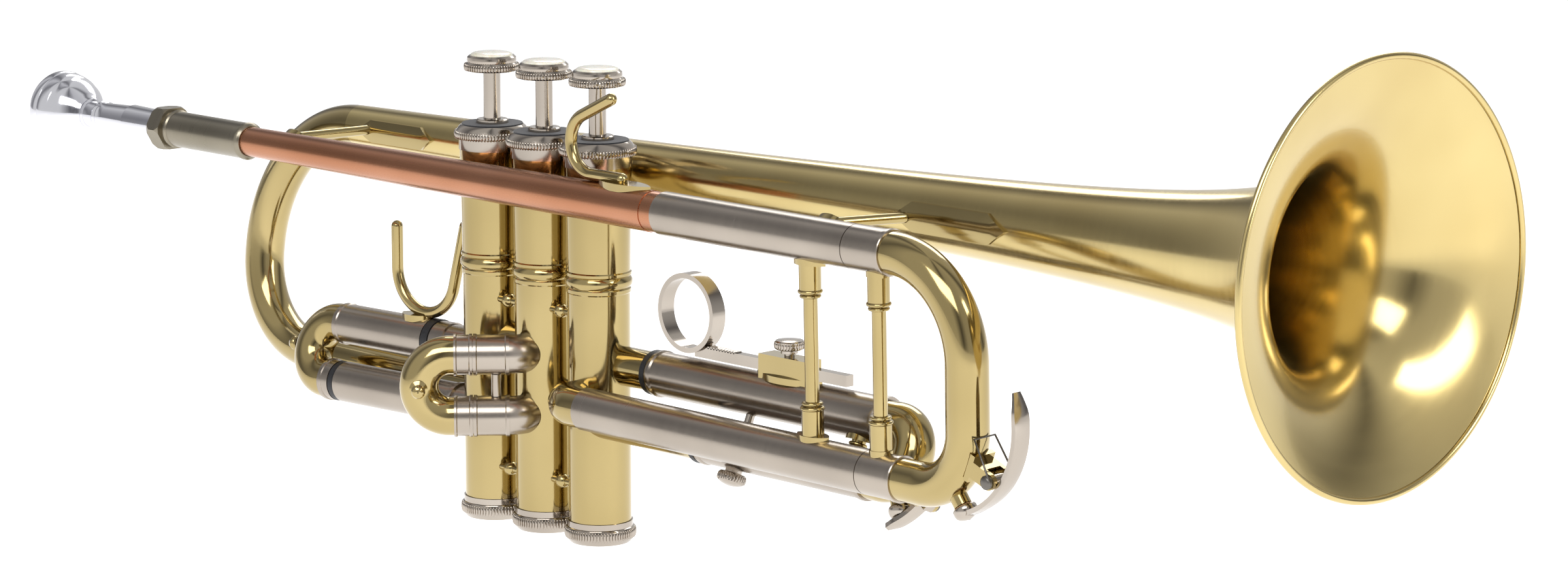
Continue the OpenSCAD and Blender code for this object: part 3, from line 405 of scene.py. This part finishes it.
def knurled_caps():
    """Coin-edge knurling on both rows of valve caps and on the finger buttons."""
    cap_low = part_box("top_caps")[0]
    for k in (1, 2, 3):
        low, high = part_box(f"valve_stem_{k}")
        axis = Vector(((low.x + high.x) / 2, (low.y + high.y) / 2, 0))
        button_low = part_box(f"finger_button_{k}")[0]
        # Name, radius, height of the middle, half height, number of ridges, body
        rows = (
            ("top_knurl", 11.72, cap_low.z / MM + 4.75, 1.35, 76, "horn"),
            ("bottom_knurl", 10.8, 2.95, 1.6, 72, "horn"),
            ("button_knurl", 8.42, button_low.z / MM + 1.25, 1.15, 58, f"valve_{k}"),
        )
        for name, radius, z, half_height, count, body in rows:
            bm = knurls(radius, z, half_height, count)
            bmesh.ops.translate(bm, verts=bm.verts, vec=axis)
            piece(f"{name}_{k}", bm, NICKEL, body)


def knurled_screws():
    """Knurling on the ring screw's head and on the lyre screw's nut."""
    ridges, bulge = 30, 0.35
    low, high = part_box("ring_screw")
    bm = knurls(4.38, 0, 1.1, ridges, bulge)
    middle = (low + high) / 2
    bmesh.ops.translate(bm, verts=bm.verts, vec=(middle.x, middle.y, high.z - 1.7 * MM))
    piece("ring_screw_knurl", bm, NICKEL, "slide_3")

    # The lyre screw points from the third slide's upper tube through its lower one
    lyre_x, below_tubes = 92.5, 9.1
    drop = Vector((0, *SLIDE_3_LOW)) - Vector((0, *SLIDE_3_TOP))
    turn = Vector((0, 0, 1)).rotation_difference(drop.normalized()).to_matrix().to_4x4()
    bm = knurls(4.15, SLIDE_3_DROP + below_tubes, 1.2, ridges, bulge)
    top_axis = Vector((lyre_x, *SLIDE_3_TOP))
    bmesh.ops.transform(bm, matrix=Matrix.Translation(top_axis * MM) @ turn, verts=bm.verts)
    piece("lyre_nut_knurl", bm, NICKEL, "slide_3")


def bar_teeth():
    """Serrations across the finger ring's bar, short of where its saddle reaches."""
    bar_top, bar_y = 67.3, 3.5
    first_x, pitch, count = 72.5, 1.25, 10
    tooth_r, width = 0.42 * MM, 3.0 * MM
    bm = bmesh.new()
    for i in range(count):
        made = bmesh.ops.create_cone(bm, cap_ends=True, segments=8, radius1=tooth_r,
                                     radius2=tooth_r, depth=width,
                                     matrix=Matrix.Rotation(pi / 2, 4, "X"))
        spot = Vector((first_x + pitch * i, bar_y, bar_top + 0.05)) * MM
        bmesh.ops.translate(bm, verts=made["verts"], vec=spot)
    piece("bar_teeth", bm, NICKEL, "ring")


def valve_springs():
    """Compression springs between guide and piston, coiled to fill each valve spring's box; they
    keep this shape as a valve goes down.
    """
    wire_r, stroke = 0.4 * MM, 15 * MM
    turns, per_turn = 8, 20
    steps = turns * per_turn
    for k in (1, 2, 3):
        low, high = (Vector(corner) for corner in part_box(f"valve_spring_{k}"))
        middle = (low + high) / 2
        coil_r = (high.x - low.x) / 2 - wire_r
        height = high.z - low.z - 2 * wire_r
        bm = bmesh.new()
        ring = bmesh.ops.create_circle(bm, segments=8, radius=wire_r,
                                       matrix=Matrix.Rotation(pi / 2, 4, "X"))
        bmesh.ops.translate(bm, verts=ring["verts"],
                            vec=(middle.x + coil_r, middle.y, low.z + wire_r))
        bmesh.ops.spin(bm, geom=bm.verts[:] + bm.edges[:], cent=(middle.x, middle.y, 0),
                       axis=(0, 0, 1), dvec=(0, 0, height / steps),
                       angle=2 * pi * turns, steps=steps)
        bmesh.ops.holes_fill(bm, edges=[e for e in bm.edges if e.is_boundary], sides=8)
        spring = piece(f"coiled_spring_{k}", bm, STEEL, "horn")
        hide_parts(f"valve_spring_{k}")
        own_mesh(spring)


# ---- Water keys -----------------------------------------------------------------

def loop_frame(x, top, low, along):
    """Frame on a slide's loop, +X along the tubes and +Y from the upper to the lower tube."""
    down = (Vector((0, *low)) - Vector((0, *top))).normalized()
    forward = Vector((1, 0, 0))
    axes = Matrix((forward, down, forward.cross(down))).transposed().to_4x4()
    origin = Vector((x, *top)) + down * along
    return Matrix.Translation(origin * MM) @ axes


def wire(name, points, radius, body, frame_at):
    """Round spring wire through points given in a loop's frame, in millimetres."""
    data = bpy.data.curves.new(name, "CURVE")
    data.dimensions = "3D"
    data.bevel_depth = radius * MM
    data.bevel_resolution = 3
    data.use_fill_caps = True
    line = data.splines.new("POLY")
    line.points.add(len(points) - 1)
    for spot, point in zip(line.points, points):
        spot.co = (*(frame_at @ (Vector(point) * MM)), 1)
    data.materials.append(STEEL)
    made = bpy.data.objects.new(name, data)
    bpy.context.scene.collection.objects.link(made)
    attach(made, body)
    return made


def key_spring(name, node, body, frame_at, pivot, rise, reach):
    """Two coils on the hinge screw and a squared loop that leans on the slide."""
    coil_r, wire_r = 1.75, 0.32
    turn_step, points_each = 26, 43
    points = []
    tip = Vector((cos(radians(rise)), sin(radians(rise)), 0)) * reach
    for side in (-1, 1):
        coil = []
        for i in range(points_each):
            a = radians(rise + 90 + i * turn_step)
            coil.append((pivot[0] + coil_r * cos(a), pivot[1] + coil_r * sin(a),
                         side * (5.1 - 0.022 * i)))
        leg = [(pivot[0] + tip.x, pivot[1] + tip.y, side * 4.2)]
        points += (coil[::-1] + leg) if side < 0 else (leg + coil)
    made = wire(name, points, wire_r, body, frame_at)
    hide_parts(node)


def crescent(bm, centre, radius, span, width):
    """Curved blade swept round a centre, thinned and narrowed towards both of its ends."""
    first, last = (radians(a) for a in span)
    thick = 1.0
    corners = [bm.verts.new((radius + r, 0, z)) for r, z in
               ((-thick, -1), (thick * 0.4, -1), (thick * 0.9, 0), (thick * 0.4, 1), (-thick, 1))]
    section = [bm.edges.new((corners[i], corners[(i + 1) % 5])) for i in range(5)]
    end = bm.faces.new(corners)
    bmesh.ops.rotate(bm, verts=corners, cent=(0, 0, 0), matrix=Matrix.Rotation(first, 3, "Z"))
    bmesh.ops.spin(bm, geom=[end] + section + corners, cent=(0, 0, 0), axis=(0, 0, 1),
                   angle=last - first, steps=30)
    for v in bm.verts:
        share = (atan2(v.co.y, v.co.x) - first) / (last - first)
        share = min(1.0, max(0.0, share))
        taper = min(1.0, 0.45 + 4.5 * share) * min(1.0, 0.55 + 3 * (1 - share))
        out = hypot(v.co.x, v.co.y)
        slim = radius + (out - radius) * min(1.0, 0.5 + 3 * share)
        v.co = (v.co.x / out * slim + centre[0], v.co.y / out * slim + centre[1],
                v.co.z * width * taper)


def cup_outline(tall):
    """Domed water-key cup from its open edge to its crown, in millimetres."""
    return [(0, 0.4), (2.95, 0.4), (2.95, -0.1), (3.3, -0.2), (3.6, 0.2), (3.65, 1.2),
            (3.4, 2.2), (2.7, 2.9), (1.8, tall - 0.6), (0, tall)]


def key_lever(name, node, body, frame_at, arc, span, pivot, cup, width):
    """Crescent key: a tapering blade, its hinge barrel and a domed cup over the nipple."""
    centre, radius = arc
    barrel_r, barrel_len = 1.8, 4.8
    web_size, web_inset = (3.6, 2.2, 3.4), 1.7
    bm = bmesh.new()
    crescent(bm, centre, radius, span, width)

    barrel = bmesh.ops.create_cone(bm, cap_ends=True, segments=28, radius1=barrel_r,
                                   radius2=barrel_r, depth=barrel_len)
    bmesh.ops.translate(bm, verts=barrel["verts"], vec=(*pivot, 0))

    toward = (Vector(centre) - Vector(pivot)).normalized()
    web = bmesh.ops.create_cube(bm, size=1.0, matrix=Matrix.Diagonal((*web_size, 1)))
    bmesh.ops.rotate(bm, verts=web["verts"], cent=(0, 0, 0),
                     matrix=Matrix.Rotation(atan2(toward.y, toward.x), 3, "Z"))
    bmesh.ops.translate(bm, verts=web["verts"], vec=(*(Vector(pivot) - toward * web_inset), 0))

    angle, dist, tall = cup
    over_nipple = (Matrix.Rotation(radians(angle), 4, "Z") @ Matrix.Translation((dist, 0, 0))
                   @ Matrix.Rotation(pi / 2, 4, "Y"))
    add_turned(bm, cup_outline(tall), 40, over_nipple)

    settle(bm, frame_at)
    made = piece(name, bm, NICKEL, body, 38)
    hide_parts(node)


def hinge_screw(name, body, frame_at, pivot):
    """Countersunk screw heads on either side of a key's saddle."""
    head = [(0, 0.9), (1.3, 0.85), (1.75, 0.55), (1.9, 0.1), (1.9, -0.5), (0, -0.5)]
    bm = bmesh.new()
    for side in (-1, 1):
        facing_out = Matrix.Rotation(0 if side > 0 else pi, 4, "X")
        add_turned(bm, head, 32, Matrix.Translation((*pivot, side * 4.8)) @ facing_out)
    settle(bm, frame_at)
    piece(name, bm, STEEL, body)


def round_from(angle, distance):
    """Point at an angle and a distance from the centre of a slide's bend."""
    return (distance * cos(radians(angle)), distance * sin(radians(angle)))


def water_keys():
    """The two water keys, each drawn from the centre of the bend that it drains."""
    lower_bend = 18
    main = loop_frame(181.6, (-18, 111.3), (-16.2, 45.7), hypot(1.8, 65.6) - lower_bend)
    pivot = round_from(22.2, 31.75)
    key_lever("main_key_blade", "main_key_lever", "main_key", main,
              arc=((9.7, -4.3), 29.0), span=(-20, 80), pivot=pivot, cup=(54, 27.5, 3.9), width=3.0)
    key_spring("main_key_wire", "main_key_spring", "tuning_slide", main, pivot, -113, 12.5)
    hinge_screw("main_key_screw", "tuning_slide", main, pivot)

    bend = SLIDE_3_DROP / 2
    third = loop_frame(152.7, SLIDE_3_TOP, SLIDE_3_LOW, bend)
    pivot = round_from(33, 21.6)
    key_lever("third_key_blade", "third_key_lever", "third_key", third,
              arc=((-2.6, -1.2), 25.0), span=(16, 66), pivot=pivot, cup=(57, bend + 9.5, 3.4),
              width=2.4)
    key_spring("third_key_wire", "third_key_spring", "slide_3", third, pivot, -108, 7.5)
    hinge_screw("third_key_screw", "slide_3", third, pivot)


# ---- Studio ---------------------------------------------------------------------

CAMERA_AT = Vector((1.07980, -0.93504, 0.33584))
AZIMUTH, ELEVATION = radians(45.93), radians(9.465)


def camera():
    """Long lens ahead of the bell and to the player's right, looking slightly down."""
    data = bpy.data.cameras.new("camera")
    data.lens = 106.13
    data.sensor_width = 36
    data.shift_x = -0.0092
    data.shift_y = -0.0463
    back = Vector((sin(AZIMUTH) * cos(ELEVATION), -cos(AZIMUTH) * cos(ELEVATION),
                   sin(ELEVATION)))
    right = Vector((0, 0, 1)).cross(back).normalized()
    up = back.cross(right)
    made = bpy.data.objects.new("camera", data)
    axes = Matrix((right, up, back)).transposed().to_4x4()
    made.matrix_world = Matrix.Translation(CAMERA_AT) @ axes
    bpy.context.scene.collection.objects.link(made)
    bpy.context.scene.camera = made


def softbox(name, place, size, power):
    """Large soft area light aimed at the valves."""
    data = bpy.data.lights.new(name, "AREA")
    data.shape = "RECTANGLE"
    data.size, data.size_y = size
    data.energy = power
    made = bpy.data.objects.new(name, data)
    made.location = place
    aim = Vector((0.05, 0, 0.08)) - Vector(place)
    made.rotation_euler = aim.to_track_quat("-Z", "Y").to_euler()
    bpy.context.scene.collection.objects.link(made)


def white_floor():
    """Plain white floor, far enough out to fill the view."""
    floor_z, half_width = -0.16, 30
    bm = bmesh.new()
    bmesh.ops.create_grid(bm, x_segments=1, y_segments=1, size=half_width,
                          matrix=Matrix.Translation((0, 0, floor_z)))
    mesh = bpy.data.meshes.new("floor")
    bm.to_mesh(mesh)
    bm.free()
    # Floor paint, rolled on: matt white with a slow, faint unevenness
    material, tree, shader, place = finish_of("floor_painted_white")
    paint = ramp(tree, noise(tree, place, 900), (0.3, "#F4F4F4"), (0.7, "#F8F8F8"))
    tree.links.new(paint, shader.inputs["Base Color"])
    shader.inputs["Roughness"].default_value = 0.9
    shader.inputs["Emission Color"].default_value = linear("#FFFFFF")
    shader.inputs["Emission Strength"].default_value = 0.55
    mesh.materials.append(material)
    floor = bpy.data.objects.new("floor", mesh)
    bpy.context.scene.collection.objects.link(floor)


def studio():
    """Bright surroundings with grey strips that the metal reflects, and three softboxes."""
    world = bpy.data.worlds.new("studio")
    bpy.context.scene.world = world
    world.use_nodes = True
    tree = world.node_tree
    facing = put(tree, "ShaderNodeTexCoord").outputs["Generated"]
    around = put(tree, "ShaderNodeTexGradient", {"Vector": facing}, gradient_type="RADIAL")
    strips = ramp(tree, around.outputs["Fac"],
                  (0.00, "#E8E8EA"), (0.10, "#8C8C90"), (0.16, "#F4F4F4"), (0.30, "#F4F4F4"),
                  (0.36, "#6A6A6E"), (0.42, "#E0E0E2"), (0.60, "#F6F6F6"), (0.66, "#77777B"),
                  (0.72, "#F0F0F0"), (0.88, "#F8F8F8"), (0.94, "#808084"), (1.00, "#E8E8EA"))
    tree.links.new(strips, tree.nodes["Background"].inputs["Color"])
    tree.nodes["Background"].inputs["Strength"].default_value = 0.75

    softbox("key", (0.9, -1.5, 1.7), (1.6, 1.0), 24)
    softbox("side", (1.9, 0.4, 0.9), (0.5, 1.4), 13)
    softbox("back", (-0.9, 1.4, 1.3), (1.4, 0.7), 11)
    bpy.context.scene.view_settings.view_transform = "Standard"


finish_cad_nodes()
spun_bell()
knurled_caps()
knurled_screws()
bar_teeth()
valve_springs()
water_keys()
camera()
white_floor()
studio()
